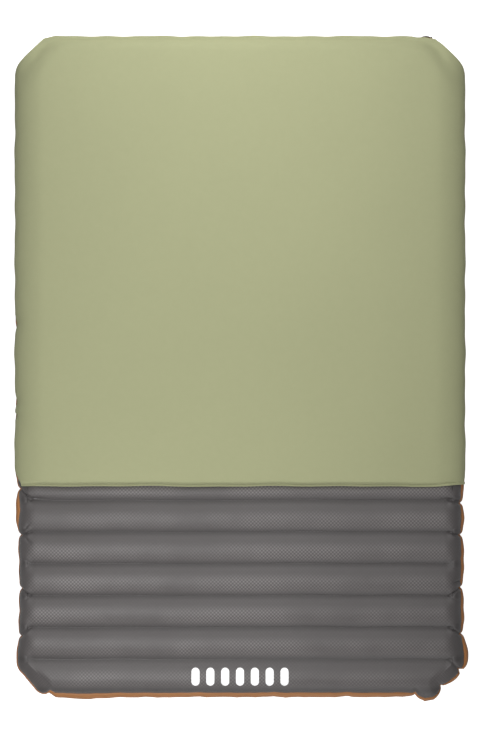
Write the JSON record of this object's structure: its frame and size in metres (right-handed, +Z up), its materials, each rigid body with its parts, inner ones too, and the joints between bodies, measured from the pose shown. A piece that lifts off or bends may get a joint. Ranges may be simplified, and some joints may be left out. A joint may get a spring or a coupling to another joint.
{
  "type": "inflatable sleeping pad",
  "caption": "Rectangular two-person inflatable sleeping pad: transverse air chambers, a knitted foam-topped head section and a hinged two-level valve in the head wall",
  "frame": {"origin": "centre of the pad's bounding box, on the surface it lies on", "axes": "+Y runs to the head end, +X to the right when seen from above with the head away, +Z up"},
  "size_m": [1.284, 1.8848, 0.11],
  "materials": {
    "top_fabric": "dark grey laminated woven fabric with a small diamond pattern",
    "bottom_fabric": "tan orange coated woven fabric",
    "pillow_knit": "sage green smooth stretch knit",
    "foam": "open-cell foam",
    "rib_film": "laminated film",
    "valve_shell": "cream moulded soft plastic",
    "valve_levels": "dark brown moulded soft plastic",
    "gasket": "black rubber",
    "flap_rubber": "grey silicone"
  },
  "bodies": {
    "pad": {"top_sheet": "top_fabric", "bottom_sheet": "bottom_fabric", "foam_layer": "foam", "pillow_cover": "pillow_knit", "hem_binding": "pillow_knit", "rib_01": "rib_film", "rib_02": "rib_film", "rib_03": "rib_film", "rib_04": "rib_film", "rib_05": "rib_film", "rib_06": "rib_film", "rib_07": "rib_film", "rib_08": "rib_film", "rib_09": "rib_film", "rib_10": "rib_film", "rib_11": "rib_film", "rib_12": "rib_film", "rib_13": "rib_film", "rib_14": "rib_film", "rib_15": "rib_film", "rib_16": "rib_film", "rib_17": "rib_film", "rib_18": "rib_film", "rib_19": "rib_film", "valve_base": "valve_shell"},
    "collar": {"valve_collar": "valve_levels", "collar_gasket": "gasket"},
    "cap": {"valve_cap": "valve_levels", "cap_gasket": "gasket"},
    "flap": {"one_way_flap": "flap_rubber"}
  },
  "joints": [
    {"name": "collar_hinge", "type": "hinge", "parent": "pad", "child": "collar", "pos_m": [0.51125, 0.93524, 0.0323], "axis": [0, 0.225, 0.9744], "range_deg": [0, 115]},
    {"name": "cap_hinge", "type": "hinge", "parent": "collar", "child": "cap", "pos_m": [0.54625, 0.93851, 0.03155], "axis": [0, -0.225, -0.9744], "range_deg": [0, 160]},
    {"name": "flap_hinge", "type": "hinge", "parent": "collar", "child": "flap", "pos_m": [0.5295, 0.92971, 0.04302], "axis": [-1, 0, 0], "range_deg": [0, 55], "stiffness_Nm_per_rad": 0.001}
  ]
}
